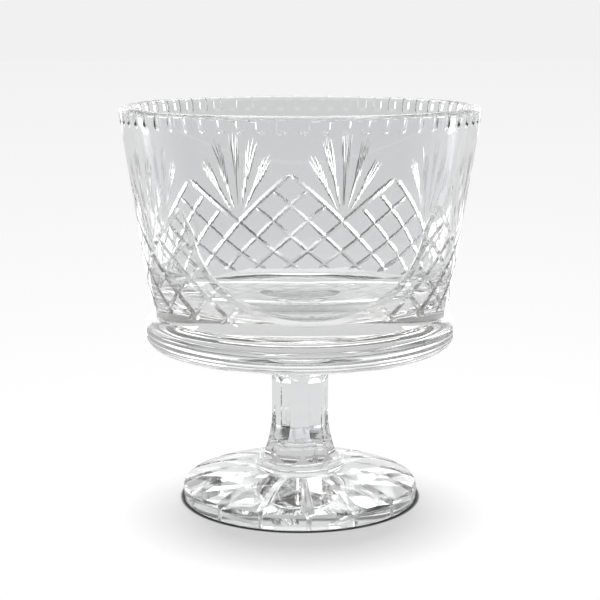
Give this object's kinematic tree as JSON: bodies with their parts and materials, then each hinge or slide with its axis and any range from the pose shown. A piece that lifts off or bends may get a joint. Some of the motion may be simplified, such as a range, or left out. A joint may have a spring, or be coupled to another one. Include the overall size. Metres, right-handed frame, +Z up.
{
  "type": "presentation bowl",
  "caption": "Clear cut-crystal presentation bowl: a deep tapered cup with cut fans and crossed diamonds, on a bead-edged plate, a short panelled stem and a domed round foot.",
  "frame": {"origin": "centre of the underside of the foot, on the surface that the bowl stands on", "axes": "+Z up along the axis of the stem and cup, -Y towards the plain front panel, +X to its right"},
  "size_m": [0.202, 0.202, 0.226],
  "materials": {
    "crystal": "polished clear crystal",
    "adhesive": "cured clear adhesive"
  },
  "bodies": {
    "root": {"foot": "crystal", "foot_collar": "crystal", "stem": "crystal", "stem_collar": "crystal", "base_plate": "crystal", "bowl": "crystal", "foot_bond": "adhesive", "stem_foot_bond": "adhesive", "stem_top_bond": "adhesive", "plate_bond": "adhesive", "bowl_bond": "adhesive"}
  },
  "joints": []
}
